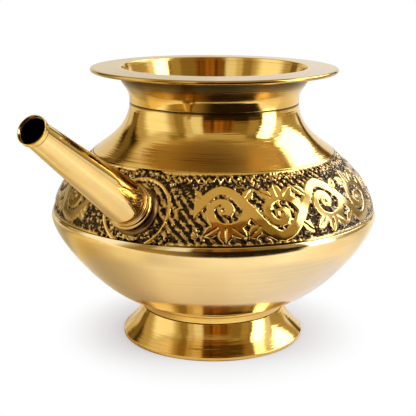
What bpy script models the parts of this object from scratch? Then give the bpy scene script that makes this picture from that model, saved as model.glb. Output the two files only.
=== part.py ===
"""Brass water pot: turned shells lapped and brazed into one vessel, with a straight spout let into the band.

Sizes are in metres and +Z is up. The spout points along +X, and the floor is z = 0. Every turned piece is an
outline of (radius, height) points spun round the pot's axis or the spout's axis. Angles of an outline are
directions of travel: 0 is outwards, -90 is straight down and -180 is inwards.
"""

import math

import bpy
import numpy as np
from mathutils import Matrix, Vector

# Sheet and fits
WALL = 0.0016
SPIGOT_WALL = 0.0012
LAP_LENGTH = 0.0040
FIT_GAP = 0.0003
FILLET_LEG = 0.0013

# Foot, from the floor up
FOOT_RADIUS = 0.0360
FOOT_EDGE_HEIGHT = 0.0011
FOOT_FLARE_HEIGHT = 0.0106
FOOT_FLARE_ANGLES = (-69.0, -51.0)
FOOT_FLARE_PULLS = (0.41, 0.34)
FOOT_COLLAR_HEIGHT = 0.00505
FOOT_STRIP_RADIUS = 0.0283
FOOT_WAIST_STEP = 0.0006
FOOT_BEAD_DEPTH = 0.0012
FOOT_BEAD_HEIGHT = 0.0024
FOOT_COLLAR_WALL = 0.0021
FOOT_SPIGOT_HEIGHT = 0.0024

# Bowl, up to its edge with the band
BOWL_SEAT_RADIUS = 0.0320
BOWL_SEAT_ANGLE = -175.0
BOWL_HEIGHT = 0.03475
BOWL_DOME_DROP = 0.0024
BOWL_DOME_PULLS = (0.33, 0.33)
BOWL_SIDE_PULLS = (0.20, 0.23)
BELLY_ROLL_PROUD = 0.0002
BELLY_ROLL_DROP = 0.0010
BELLY_ROLL_ANGLE = -70.0
BELLY_ROLL_PULLS = (0.33, 0.33)

# Band, shoulder, neck and rim
BAND_FOOT_RADIUS = 0.06355
BAND_FOOT_ANGLE = -84.0
BAND_HEIGHT = 0.0230
BAND_PULLS = (0.20, 0.40)
BAND_TOP_RADIUS = 0.0473
BAND_TOP_ANGLE = -44.0
SHOULDER_HEIGHT = 0.0187
SHOULDER_PULLS = (0.42, 0.20)
NECK_SEAM_RADIUS = 0.0329
NECK_SEAM_ANGLE = -88.0
NECK_HEIGHT = 0.01185
NECK_PULLS = (0.60, 0.46)
NECK_TOP_ANGLE = -111.0
MOUTH_RADIUS = 0.0359
MOUTH_OVERHANG = 0.0002
RIM_WIDTH = 0.0119
RIM_THICKNESS = 0.00185
RIM_REBATE_DEPTH = 0.0005

# Spout, along its own axis from the point where that axis meets the band's outer face
SPOUT_DROP = 0.0120
SPOUT_RISE = 33.2
SPOUT_LENGTH = 0.0657
SPOUT_SPIGOT_RADIUS = 0.0069
SPOUT_ROOT_STEP = 0.00084
SPOUT_ROOT_ROUNDING = 0.0016
SPOUT_SPIGOT_WALL = 0.0011
SPOUT_INNER_REACH = 0.0034
SPOUT_MOUTH_BORE = 0.0037
SPOUT_MOUTH_WALL = 0.00068
LIP_PROUD = 0.00055
LIP_LENGTH = 0.0018
LIP_FACE = 0.0006
LIP_ROUNDING = 0.0003
LIP_SEAT_WALL = 0.0004
COLLAR_HEIGHT = 0.0065
COLLAR_WALL = 0.0005
COLLAR_RING_DEPTH = 0.0003
COLLAR_RING_HEIGHT = 0.0012
COLLAR_BEAD_DEPTH = 0.0009
COLLAR_BEAD_HEIGHT = 0.0026
COLLAR_SLEEVE_STEP = 0.0002
COLLAR_SLEEVE_HEIGHT = 0.0022
SPOUT_FILLET_SPREAD = 0.0008

# Ornament that stands on the band's sunk ground: a wave, a coil in each bend and a boss round the spout
GROUND_DEPTH = 0.0006
GROUND_MARGIN = 0.0009
WAVE_DROP = 0.0161
WAVE_RISE = 0.0089
WAVE_BENDS = 16
WAVE_START = 21.0
STEM_WIDTH = 0.0038
COIL_RADIUS = 0.0052
COIL_LIFT = 0.0013
BOSS_RADIUS = 0.0138
FORM_REACH = 0.0040

# Faces round each kind of turned piece, points down the band's outer face, and corners of the ornament
BODY_STEPS = 40
SPOUT_STEPS = 24
BAND_POINTS = 5
STEM_STATIONS = 5
COIL_CORNERS = 8

# Heights that follow from the stack of pieces
WAIST_HEIGHT = FOOT_EDGE_HEIGHT + FOOT_FLARE_HEIGHT
SEAT_HEIGHT = WAIST_HEIGHT + FOOT_COLLAR_HEIGHT + FIT_GAP
BAND_FOOT_HEIGHT = SEAT_HEIGHT + BOWL_HEIGHT
BAND_TOP_HEIGHT = BAND_FOOT_HEIGHT + BAND_HEIGHT
NECK_SEAM_HEIGHT = BAND_TOP_HEIGHT + SHOULDER_HEIGHT
RIM_UNDERSIDE = NECK_SEAM_HEIGHT + NECK_HEIGHT
RIM_TOP = RIM_UNDERSIDE + RIM_THICKNESS

# Radii that follow from the bores and walls they go round
FOOT_WAIST_RADIUS = FOOT_STRIP_RADIUS + FOOT_WAIST_STEP
NECK_TOP_RADIUS = MOUTH_RADIUS + MOUTH_OVERHANG + WALL
BELLY_RADIUS = BAND_FOOT_RADIUS + BELLY_ROLL_PROUD
SPOUT_MOUTH_RADIUS = SPOUT_MOUTH_BORE + SPOUT_MOUTH_WALL
LIP_RADIUS = SPOUT_MOUTH_RADIUS + LIP_PROUD
COLLAR_BORE = SPOUT_SPIGOT_RADIUS + FIT_GAP
COLLAR_WAIST_RADIUS = COLLAR_BORE + COLLAR_WALL
COLLAR_SLEEVE_RADIUS = COLLAR_WAIST_RADIUS + COLLAR_SLEEVE_STEP

# Length along a shell, from its upper edge, that a spigot and its run of filler take up inside it
JOINT_REACH = LAP_LENGTH + FIT_GAP + FILLET_LEG
# Length of outline that one radian of bend counts as when points are spread along it
BEND_REACH = 0.010

BRASS = (0.80, 0.56, 0.22)
PALE_BRASS = (0.84, 0.66, 0.36)
DARK_BRASS = (0.30, 0.20, 0.08)
FILLER = (0.72, 0.50, 0.24)


def bezier(start, end, angles, pulls, samples=49):
    """Samples a cubic curve between two points. Its handles are shares of the distance between them."""
    start, end = np.array(start), np.array(end)
    chord = np.linalg.norm(end - start)
    leave, arrive = (np.array([math.cos(a), math.sin(a)]) for a in np.radians(angles))
    first_handle = start + leave * chord * pulls[0]
    last_handle = end - arrive * chord * pulls[1]
    t = np.linspace(0.0, 1.0, samples)[:, None]
    return (
        (1 - t) ** 3 * start
        + 3 * (1 - t) ** 2 * t * first_handle
        + 3 * (1 - t) * t**2 * last_handle
        + t**3 * end
    )


def joined(*paths):
    """Puts paths end to end, without the point that two of them share."""
    return np.vstack([paths[0]] + [path[1:] for path in paths[1:]])


def distances(path):
    """Length of the path up to each of its points."""
    return np.concatenate([[0.0], np.cumsum(np.linalg.norm(np.diff(path, axis=0), axis=1))])


def length_of(path):
    return float(distances(path)[-1])


def directions(path):
    """Unit direction of travel at each point of the path."""
    travel = np.gradient(path, distances(path), axis=0, edge_order=2)
    return travel / np.linalg.norm(travel, axis=1)[:, None]


def spread(path, count, first, last):
    """Distances along a path between two of them, closer together where the path bends."""
    along = distances(path)
    travel = directions(path)
    heading = np.unwrap(np.arctan2(travel[:, 1], travel[:, 0]))
    measure = along + BEND_REACH * np.concatenate([[0.0], np.cumsum(np.abs(np.diff(heading)))])
    ends = np.interp([first, last], along, measure)
    return list(np.interp(np.linspace(*ends, count), measure, along))


def inset_at(path, inset, places):
    """Points at the given distances along a path, moved towards the inside of the vessel."""
    along, travel = distances(path), directions(path)
    moved = path + np.column_stack([travel[:, 1], -travel[:, 0]]) * inset
    radii, heights = (np.interp(places, along, moved[:, i]) for i in (0, 1))
    return [(float(r), float(z)) for r, z in zip(radii, heights)]


def arc(centre, radii, angles, count):
    """Points on a quarter of an ellipse or on any other stretch of one."""
    turn = np.radians(np.linspace(angles[0], angles[1], count))
    return [(centre[0] + radii[0] * math.cos(a), centre[1] + radii[1] * math.sin(a)) for a in turn]


def finish(name, colour, roughness):
    material = bpy.data.materials.new(name + "_finish")
    material.use_nodes = True
    shader = material.node_tree.nodes["Principled BSDF"]
    shader.inputs["Base Color"].default_value = (*colour, 1.0)
    shader.inputs["Metallic"].default_value = 1.0
    shader.inputs["Roughness"].default_value = roughness
    return material


def turned(name, outline, axis, steps, collection, closed=True):
    """Spins an outline round an axis. The outline runs down the outer side and back up the inner one."""
    mesh = bpy.data.meshes.new(name)
    edges = [(i, i + 1) for i in range(len(outline) - 1)]
    if closed:
        edges.append((len(outline) - 1, 0))
    mesh.from_pydata([(r, 0.0, z) for r, z in outline], edges, [])
    piece = bpy.data.objects.new(name, mesh)
    collection.objects.link(piece)
    piece.parent = axis
    spin = piece.modifiers.new("spin", "SCREW")
    spin.axis = "Z"
    spin.steps = steps
    spin.render_steps = steps
    spin.use_merge_vertices = True
    spin.merge_threshold = 0.00001
    return piece


def standing(name, outline, places, axis, collection):
    """Prisms of one outline, each along the z axis of its place, where a cutter is to leave the metal."""
    corners = [place @ Vector((x, y, 0.0)) for place in places for x, y in outline]
    faces = [range(i, i + len(outline)) for i in range(0, len(corners), len(outline))]
    mesh = bpy.data.meshes.new(name)
    mesh.from_pydata(corners, [], faces)
    piece = bpy.data.objects.new(name, mesh)
    collection.objects.link(piece)
    piece.parent = axis
    solid = piece.modifiers.new("thickness", "SOLIDIFY")
    solid.thickness = 2 * FORM_REACH
    solid.offset = 0.0
    return piece


def cut(piece, cutter):
    boolean = piece.modifiers.new("cut", "BOOLEAN")
    boolean.operation = "DIFFERENCE"
    boolean.object = cutter


def lapped_outline(path, next_path, outer_count, inner_count):
    """A shell whose lower edge thickens and steps in to a spigot that slides under the next shell."""
    end = length_of(path)
    seat = WALL + FIT_GAP
    inner = seat + SPIGOT_WALL
    return (
        inset_at(path, 0.0, spread(path, outer_count, 0.0, end - FIT_GAP))
        + inset_at(path, seat, [end - FIT_GAP])
        + inset_at(next_path, seat, [LAP_LENGTH / 2, LAP_LENGTH])
        + inset_at(next_path, inner, [LAP_LENGTH, 0.0])
        + inset_at(path, inner, [end - LAP_LENGTH / 2])
        + inset_at(path, WALL, spread(path, inner_count, end - LAP_LENGTH, JOINT_REACH))
        + inset_at(path, WALL, [LAP_LENGTH, LAP_LENGTH / 2, 0.0])
    )


def filler_outline(next_path):
    """Three-sided run of filler in the corner between a spigot's end and the shell round it."""
    start = LAP_LENGTH + FIT_GAP
    face = WALL + FIT_GAP
    return inset_at(next_path, face, [start, JOINT_REACH]) + inset_at(next_path, face + FILLET_LEG, [start])


def body_paths():
    """Outer side of the vessel from under the rim to the middle of its bottom, one path for each shell."""
    neck = bezier(
        (NECK_TOP_RADIUS, RIM_UNDERSIDE),
        (NECK_SEAM_RADIUS, NECK_SEAM_HEIGHT),
        (NECK_TOP_ANGLE, NECK_SEAM_ANGLE),
        NECK_PULLS,
    )
    shoulder = bezier(
        (NECK_SEAM_RADIUS, NECK_SEAM_HEIGHT),
        (BAND_TOP_RADIUS, BAND_TOP_HEIGHT),
        (NECK_SEAM_ANGLE, BAND_TOP_ANGLE),
        SHOULDER_PULLS,
    )
    band = bezier(
        (BAND_TOP_RADIUS, BAND_TOP_HEIGHT),
        (BAND_FOOT_RADIUS, BAND_FOOT_HEIGHT),
        (BAND_TOP_ANGLE, BAND_FOOT_ANGLE),
        BAND_PULLS,
    )
    widest = (BELLY_RADIUS, BAND_FOOT_HEIGHT - BELLY_ROLL_DROP)
    roll = bezier((BAND_FOOT_RADIUS, BAND_FOOT_HEIGHT), widest, (BELLY_ROLL_ANGLE, -90.0), BELLY_ROLL_PULLS)
    side = bezier(widest, (BOWL_SEAT_RADIUS, SEAT_HEIGHT), (-90.0, BOWL_SEAT_ANGLE), BOWL_SIDE_PULLS)
    dome = bezier(
        (BOWL_SEAT_RADIUS, SEAT_HEIGHT),
        (0.0, SEAT_HEIGHT - BOWL_DOME_DROP),
        (BOWL_SEAT_ANGLE, -180.0),
        BOWL_DOME_PULLS,
    )
    return neck, shoulder, band, roll, side, dome


def rim_outline():
    """Flat ring with a round outer edge and, below its mouth, a rebate for the end of the neck."""
    outer = MOUTH_RADIUS + RIM_WIDTH
    half = RIM_THICKNESS / 2
    rebate = NECK_TOP_RADIUS + FIT_GAP
    step = RIM_UNDERSIDE + RIM_REBATE_DEPTH
    return (
        [(MOUTH_RADIUS, RIM_TOP - MOUTH_OVERHANG), (MOUTH_RADIUS + MOUTH_OVERHANG, RIM_TOP)]
        + arc((outer - half, RIM_TOP - half), (half, half), (90, -90), 5)
        + [(rebate, RIM_UNDERSIDE), (rebate, step), (MOUTH_RADIUS, step)]
    )


def neck_outline(neck, shoulder):
    """The lapped neck shell, with its upper end squared off and raised into the rim's rebate."""
    shell = lapped_outline(neck, shoulder, 7, 2)
    end = RIM_UNDERSIDE + RIM_REBATE_DEPTH - FIT_GAP
    return shell[:-1] + [(NECK_TOP_RADIUS - WALL, end), (NECK_TOP_RADIUS, end)]


def rim_fillet_outline(neck):
    """Hollow-faced run of filler in the corner under the flange."""
    top = RIM_UNDERSIDE - FIT_GAP
    inner = inset_at(neck, -FIT_GAP, [FIT_GAP + FILLET_LEG, FIT_GAP])
    middle = (inner[0][0] + FILLET_LEG / 3, top - FILLET_LEG / 3)
    return [(inner[1][0] + FILLET_LEG, top), middle] + inner


def bowl_outline(roll, side, dome):
    """Closed bowl: up its inner side from the middle, over the edge and down its outer side."""
    outside = joined(roll, side, dome)
    widest, end = length_of(roll), length_of(outside)
    inner = spread(outside, 6, end, JOINT_REACH) + [LAP_LENGTH, LAP_LENGTH / 2, 0.0]
    outer = [0.0] + spread(outside, 13, widest, end)
    return inset_at(outside, WALL, inner) + inset_at(outside, 0.0, outer)


def foot_collar_outline(dome):
    """Beaded ring whose upper face follows the bottom of the bowl."""
    base = WAIST_HEIGHT + FIT_GAP
    inner = FOOT_STRIP_RADIUS - FOOT_COLLAR_WALL
    ceilings = np.interp([-FOOT_STRIP_RADIUS - FOOT_BEAD_DEPTH, -inner], -dome[:, 0], dome[:, 1]) - FIT_GAP
    bead_middle = float(ceilings[0]) - FOOT_BEAD_HEIGHT / 2
    bead = arc((FOOT_STRIP_RADIUS, bead_middle), (FOOT_BEAD_DEPTH, FOOT_BEAD_HEIGHT / 2), (55, -80), 5)
    strip = [(FOOT_STRIP_RADIUS, (bead_middle - FOOT_BEAD_HEIGHT / 2 + base) / 2), (FOOT_WAIST_RADIUS, base)]
    return bead + strip + [(inner, base), (inner, float(ceilings[1]))]


def foot_flare_outline():
    """Hollow foot, open below, with a spigot that stands up inside the foot collar."""
    flare = bezier(
        (FOOT_WAIST_RADIUS, WAIST_HEIGHT),
        (FOOT_RADIUS, FOOT_EDGE_HEIGHT),
        FOOT_FLARE_ANGLES,
        FOOT_FLARE_PULLS,
    )
    spigot = FOOT_STRIP_RADIUS - FOOT_COLLAR_WALL - FIT_GAP
    bore = spigot - SPIGOT_WALL
    top = WAIST_HEIGHT + FOOT_SPIGOT_HEIGHT
    inside = inset_at(flare, WALL, spread(flare, 3, length_of(flare), LAP_LENGTH / 2))
    return (
        [(bore, top), (spigot, top), (spigot, WAIST_HEIGHT)]
        + inset_at(flare, 0.0, spread(flare, 7, 0.0, length_of(flare)))
        + [(FOOT_RADIUS, 0.0), (FOOT_RADIUS - WALL, 0.0)]
        + inside
        + [(bore, inside[-1][1])]
    )


def foot_filler_outline():
    """Flat ring of filler on the end of the foot's spigot."""
    outer = FOOT_STRIP_RADIUS - FOOT_COLLAR_WALL - FIT_GAP
    base = WAIST_HEIGHT + FOOT_SPIGOT_HEIGHT + FIT_GAP
    top = SEAT_HEIGHT - BOWL_DOME_DROP / 2 - 2 * FIT_GAP
    return [(outer, top), (outer, base), (outer - FILLET_LEG, base)]


def spout_tube_outline():
    """Tapered tube with a round-shouldered root, a spigot through the wall and a turned-down mouth end."""
    root = COLLAR_HEIGHT + FIT_GAP
    round_middle = (SPOUT_SPIGOT_RADIUS, root + SPOUT_ROOT_ROUNDING)
    round_end = arc(round_middle, (SPOUT_ROOT_STEP, SPOUT_ROOT_ROUNDING), (0, -80), 5)
    seat = SPOUT_MOUTH_BORE + LIP_SEAT_WALL
    lip_back = SPOUT_LENGTH - LIP_LENGTH
    end = SPOUT_LENGTH - LIP_FACE - FIT_GAP
    return (
        [(seat, end), (seat, lip_back - FIT_GAP), (SPOUT_MOUTH_RADIUS, lip_back - FIT_GAP)]
        + round_end
        + [(SPOUT_SPIGOT_RADIUS, root), (SPOUT_SPIGOT_RADIUS, -SPOUT_INNER_REACH)]
        + [(SPOUT_SPIGOT_RADIUS - SPOUT_SPIGOT_WALL, -SPOUT_INNER_REACH), (SPOUT_MOUTH_BORE, end)]
    )


def lip_outline():
    """Round-edged ring, countersunk to the bore, with a rebate for the end of the tube."""
    rebate = SPOUT_MOUTH_BORE + LIP_SEAT_WALL + FIT_GAP
    back = SPOUT_LENGTH - LIP_LENGTH
    face = SPOUT_LENGTH - LIP_FACE
    edge_middle = (LIP_RADIUS - LIP_ROUNDING, SPOUT_LENGTH - LIP_ROUNDING)
    return (
        [(SPOUT_MOUTH_BORE, face)]
        + arc(edge_middle, (LIP_ROUNDING, LIP_ROUNDING), (150, 0), 5)
        + [(LIP_RADIUS, back), (rebate, back), (rebate, face)]
    )


def collar_outline():
    """Socket with a fine ring and a fat bead, long enough below to be cut to the band."""
    ring_middle = COLLAR_HEIGHT - COLLAR_RING_HEIGHT / 2
    bead_middle = COLLAR_SLEEVE_HEIGHT + COLLAR_BEAD_HEIGHT / 2
    return (
        [(COLLAR_BORE, COLLAR_HEIGHT)]
        + arc((COLLAR_WAIST_RADIUS, ring_middle), (COLLAR_RING_DEPTH, COLLAR_RING_HEIGHT / 2), (90, -80), 5)
        + arc((COLLAR_WAIST_RADIUS, bead_middle), (COLLAR_BEAD_DEPTH, COLLAR_BEAD_HEIGHT / 2), (80, -75), 6)
        + [(COLLAR_SLEEVE_RADIUS, COLLAR_SLEEVE_HEIGHT), (COLLAR_SLEEVE_RADIUS, -SPOUT_INNER_REACH)]
        + [(COLLAR_BORE, -SPOUT_INNER_REACH)]
    )


def spout_fillet_outline():
    """Spreading run of filler round the socket's sleeve, long enough below to be cut to the band."""
    inner = COLLAR_SLEEVE_RADIUS + FIT_GAP
    top = COLLAR_SLEEVE_HEIGHT - FIT_GAP
    outer = inner + SPOUT_FILLET_SPREAD
    return (
        arc((inner, 0.0), (SPOUT_FILLET_SPREAD, top), (90, 0), 4)
        + [(outer, -SPOUT_INNER_REACH), (inner, -SPOUT_INNER_REACH)]
    )


def band_envelope_outline(band, belly):
    """Everything within a fit's gap of the outer face of the band and the belly, in to the pot's axis."""
    face = inset_at(band, -FIT_GAP, spread(band, BAND_POINTS, 0.0, length_of(band)))
    face += inset_at(belly, -FIT_GAP, spread(belly, BAND_POINTS, 0.0, length_of(belly)))[1:]
    return [(0.0, face[0][1])] + face + [(0.0, face[-1][1])]


def ground_outline(band):
    """Thin ring over the band's outer face, between its plain edges, down to the sunk ground."""
    places = spread(band, BAND_POINTS, GROUND_MARGIN, length_of(band) - GROUND_MARGIN)
    return inset_at(band, -WALL, places) + inset_at(band, GROUND_DEPTH, places[::-1])


def bend_places(band):
    """Place of each bend of the wave (x round the pot, y to its crest, z outwards), and a bend's width."""
    radius, height = inset_at(band, 0.0, [WAVE_DROP])[0]
    inner_radius, inner_height = inset_at(band, WALL, [WAVE_DROP])[0]
    outwards = Vector((radius - inner_radius, 0.0, height - inner_height)).normalized()
    step = math.radians(360.0 - 2 * WAVE_START) / WAVE_BENDS
    places = []
    for i in range(WAVE_BENDS):
        crest = 1 if i % 2 == 0 else -1
        round_pot = Vector((0.0, crest, 0.0))
        flat = Matrix((round_pot, outwards.cross(round_pot), outwards)).transposed().to_4x4()
        turn = Matrix.Rotation(math.radians(WAVE_START) + step * (i + 0.5), 4, "Z")
        places.append(turn @ Matrix.Translation((radius, 0.0, height)) @ flat)
    return places, radius * step


def stem_outline(width):
    """Flat outline of one bend of the wave, a strip that rises to its crest and falls again."""
    along = np.linspace(-width / 2, width / 2, STEM_STATIONS)
    middle = np.column_stack([along, WAVE_RISE * np.cos(math.pi * along / width)])
    travel = directions(middle)
    aside = np.column_stack([-travel[:, 1], travel[:, 0]]) * STEM_WIDTH / 2
    return list(middle - aside) + list(middle + aside)[::-1]


def main():
    for old in list(bpy.data.objects):
        bpy.data.objects.remove(old)
    pot = bpy.data.collections.new("spouted_water_pot")
    cutters = bpy.data.collections.new("cutters")
    for collection in (pot, cutters):
        bpy.context.scene.collection.children.link(collection)

    neck, shoulder, band, roll, side, dome = body_paths()
    belly = joined(roll, side)
    root_height = BAND_TOP_HEIGHT - SPOUT_DROP
    root_radius = float(np.interp(-root_height, -band[:, 1], band[:, 0]))
    rise = math.radians(SPOUT_RISE)
    reach = root_radius + max(r * math.sin(rise) + along * math.cos(rise) for r, along in lip_outline())
    axis_place = (BELLY_RADIUS - reach) / 2

    pot_axis = bpy.data.objects.new("pot_axis", None)
    pot_axis.location = (axis_place, 0.0, 0.0)
    spout_axis = bpy.data.objects.new("spout_axis", None)
    spout_axis.location = (root_radius, 0.0, root_height)
    spout_axis.rotation_euler = (0.0, math.pi / 2 - rise, 0.0)
    spout_axis.parent = pot_axis
    for guide in (pot_axis, spout_axis):
        guide.hide_render = True
        pot.objects.link(guide)

    body_pieces = [
        ("rim_flange", rim_outline(), PALE_BRASS, 0.25),
        ("rim_braze_fillet", rim_fillet_outline(neck), FILLER, 0.40),
        ("neck_collar", neck_outline(neck, shoulder), BRASS, 0.22),
        ("neck_braze_ring", filler_outline(shoulder), FILLER, 0.45),
        ("shoulder_shell", lapped_outline(shoulder, band, 8, 3), BRASS, 0.18),
        ("shoulder_braze_ring", filler_outline(band), FILLER, 0.45),
        ("chased_band", lapped_outline(band, belly, BAND_POINTS, 3), DARK_BRASS, 0.45),
        ("belly_braze_ring", filler_outline(belly), FILLER, 0.45),
        ("foot_collar", foot_collar_outline(dome), BRASS, 0.20),
        ("foot_braze_ring", foot_filler_outline(), FILLER, 0.45),
        ("foot_flare", foot_flare_outline(), BRASS, 0.18),
    ]
    pieces = {}
    for name, outline, colour, roughness in body_pieces:
        pieces[name] = turned(name, outline, pot_axis, BODY_STEPS, pot)
        pieces[name].data.materials.append(finish(name, colour, roughness))
    bowl = turned("lower_bowl", bowl_outline(roll, side, dome), pot_axis, BODY_STEPS, pot, closed=False)
    bowl.data.materials.append(finish("lower_bowl", PALE_BRASS, 0.22))

    spout_pieces = [
        ("spout_tube", spout_tube_outline(), BRASS, 0.15),
        ("spout_lip_ring", lip_outline(), BRASS, 0.18),
        ("spout_base_collar", collar_outline(), BRASS, 0.22),
        ("spout_braze_fillet", spout_fillet_outline(), FILLER, 0.35),
    ]
    for name, outline, colour, roughness in spout_pieces:
        pieces[name] = turned(name, outline, spout_axis, SPOUT_STEPS, pot)
        pieces[name].data.materials.append(finish(name, colour, roughness))

    hole_top, hole_end = COLLAR_HEIGHT, -COLLAR_HEIGHT - SPOUT_INNER_REACH
    hole_outline = [(0.0, hole_top), (COLLAR_BORE, hole_top), (COLLAR_BORE, hole_end), (0.0, hole_end)]
    hole_cutter = turned("spout_hole", hole_outline, spout_axis, SPOUT_STEPS, cutters, closed=False)
    envelope = band_envelope_outline(band, belly)
    band_cutter = turned("band_envelope", envelope, pot_axis, BODY_STEPS, cutters, closed=False)
    ground_cutter = turned("ground_cutter", ground_outline(band), pot_axis, BODY_STEPS, cutters)
    bends, bend_width = bend_places(band)
    stem = stem_outline(bend_width)
    coil = arc((0.0, COIL_LIFT), (COIL_RADIUS, COIL_RADIUS), (0, 360), COIL_CORNERS + 1)[:-1]
    boss = arc((0.0, 0.0), (BOSS_RADIUS, BOSS_RADIUS), (0, 360), 2 * COIL_CORNERS + 1)[:-1]
    forms = [
        standing("upper_stems", stem, bends[0::2], pot_axis, cutters),
        standing("lower_stems", stem, bends[1::2], pot_axis, cutters),
        standing("coils", coil, bends, pot_axis, cutters),
        standing("spout_boss", boss, [Matrix.Identity(4)], spout_axis, cutters),
    ]
    for cutter in [hole_cutter, band_cutter, ground_cutter] + forms:
        cutter.hide_render = True
        cutter.display_type = "WIRE"
    for form in forms:
        cut(ground_cutter, form)
    cut(pieces["chased_band"], ground_cutter)
    cut(pieces["chased_band"], hole_cutter)
    cut(pieces["spout_base_collar"], band_cutter)
    cut(pieces["spout_braze_fillet"], band_cutter)


main()
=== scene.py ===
# %% [markdown]
# # A spouted brass water pot
# This small pot is spun from brass sheet, brazed together and polished. Its looks are almost all reflections,
# so the lesson first gives every piece a fine, true outline, then its finish, and last the room it mirrors.
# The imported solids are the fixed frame: each visual piece is built where its solid is, and takes its place.

import math

import bpy
import numpy as np
from mathutils import Euler, Matrix, Vector


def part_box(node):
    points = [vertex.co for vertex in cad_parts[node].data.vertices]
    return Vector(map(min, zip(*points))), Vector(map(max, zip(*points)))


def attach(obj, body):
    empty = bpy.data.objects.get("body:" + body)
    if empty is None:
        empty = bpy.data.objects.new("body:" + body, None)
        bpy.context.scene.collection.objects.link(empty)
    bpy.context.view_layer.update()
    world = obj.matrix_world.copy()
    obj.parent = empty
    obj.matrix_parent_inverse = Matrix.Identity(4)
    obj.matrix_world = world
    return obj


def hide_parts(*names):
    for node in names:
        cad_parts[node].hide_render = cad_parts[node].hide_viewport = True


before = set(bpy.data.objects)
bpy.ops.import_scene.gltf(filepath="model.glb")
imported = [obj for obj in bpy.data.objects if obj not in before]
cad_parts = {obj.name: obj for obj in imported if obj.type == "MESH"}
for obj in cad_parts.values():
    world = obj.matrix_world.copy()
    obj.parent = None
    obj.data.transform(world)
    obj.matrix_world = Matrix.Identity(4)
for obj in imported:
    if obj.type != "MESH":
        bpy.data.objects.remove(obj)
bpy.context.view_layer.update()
rim_low, rim_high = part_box("rim_flange")
pot_x = (rim_low.x + rim_high.x) / 2
print("solids loaded:", len(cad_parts), "pot axis at x", round(pot_x * 1000, 2), "mm")

# %% [markdown]
# ## The camera
# The rim, the seams and the foot are circles, so the ellipses they make in the photograph give the lens, the
# height and the distance. Setting the camera first means that every later step can be looked at from the same
# place. The small roll and the small turn put the pot where it stands in the frame.

# %% Camera
FRAME_PIXELS = 416
FOCAL_PIXELS = 1004.0
CAMERA_DISTANCE = 0.3892
CAMERA_HEIGHT = 0.1476
CAMERA_HEADING = math.radians(27.83)
CAMERA_PITCH = math.radians(14.0)
CAMERA_ROLL = math.radians(0.3)
SIDE_SHIFT_PIXELS = 5.6
SIDE_TURN = math.atan(SIDE_SHIFT_PIXELS / FOCAL_PIXELS)
SENSOR_WIDTH = 36.0

lens = bpy.data.cameras.new("photograph_lens")
lens.sensor_width = SENSOR_WIDTH
lens.lens = FOCAL_PIXELS / FRAME_PIXELS * SENSOR_WIDTH
lens.clip_start = 0.01
camera = bpy.data.objects.new("photograph_camera", lens)
bpy.context.scene.collection.objects.link(camera)
towards_camera = Vector((math.cos(CAMERA_HEADING), math.sin(CAMERA_HEADING), 0.0))
image_right = Vector((-math.sin(CAMERA_HEADING), math.cos(CAMERA_HEADING), 0.0))
camera.location = Vector((pot_x, 0.0, CAMERA_HEIGHT)) + towards_camera * CAMERA_DISTANCE
look = Euler((math.pi / 2 - CAMERA_PITCH, 0.0, CAMERA_HEADING + math.pi / 2 + SIDE_TURN)).to_matrix()
camera.rotation_euler = (look @ Matrix.Rotation(CAMERA_ROLL, 3, "Z")).to_euler()
bpy.context.scene.camera = camera
print("camera at", [round(v, 4) for v in camera.location], "lens", round(lens.lens, 2), "mm")

# %% [markdown]
# ## Outlines
# Nearly every piece is turned, so it is one outline spun round an axis. An outline is made of smooth cubic
# curves between a few measured points. Moving a curve sideways by the wall's thickness gives the inner side,
# and rounding each sharp corner a little gives the bright line that a worn metal edge always shows.

# %% Curves
WALL = 0.0016
FIT_GAP = 0.0003
LAP_LENGTH = 0.0040
FILLET_LEG = 0.0013


def bezier(start, end, angles, pulls, samples=97):
    """Samples a cubic curve. The angles are directions of travel, and the handles are shares of the chord."""
    start, end = np.array(start), np.array(end)
    chord = np.linalg.norm(end - start)
    leave, arrive = (np.array([math.cos(a), math.sin(a)]) for a in np.radians(angles))
    t = np.linspace(0.0, 1.0, samples)[:, None]
    first, last = start + leave * chord * pulls[0], end - arrive * chord * pulls[1]
    return (1 - t) ** 3 * start + 3 * (1 - t) ** 2 * t * first + 3 * (1 - t) * t**2 * last + t**3 * end


def joined(*paths):
    """Puts paths end to end, without the point that two of them share."""
    return np.vstack([paths[0]] + [path[1:] for path in paths[1:]])


def distances(path):
    """Length of the path up to each of its points."""
    return np.concatenate([[0.0], np.cumsum(np.linalg.norm(np.diff(path, axis=0), axis=1))])


# %% Walls and soft corners
SHARP_TURN = math.radians(30)
CORNER_RADIUS = 0.00016


def stretch(path, inset, first, last, step=0.0006):
    """Evenly spaced points between two distances along a path, moved inwards by an inset."""
    along = distances(path)
    travel = np.gradient(path, along, axis=0, edge_order=2)
    travel /= np.linalg.norm(travel, axis=1)[:, None]
    moved = path + np.column_stack([travel[:, 1], -travel[:, 0]]) * inset
    places = np.linspace(first, last, max(2, round(abs(last - first) / step) + 1))
    return np.column_stack([np.interp(places, along, moved[:, i]) for i in (0, 1)])


def arc(centre, radii, angles, count):
    """Points on a stretch of an ellipse."""
    turn = np.radians(np.linspace(angles[0], angles[1], count))
    return np.column_stack([centre[0] + radii[0] * np.cos(turn), centre[1] + radii[1] * np.sin(turn)])


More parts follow.
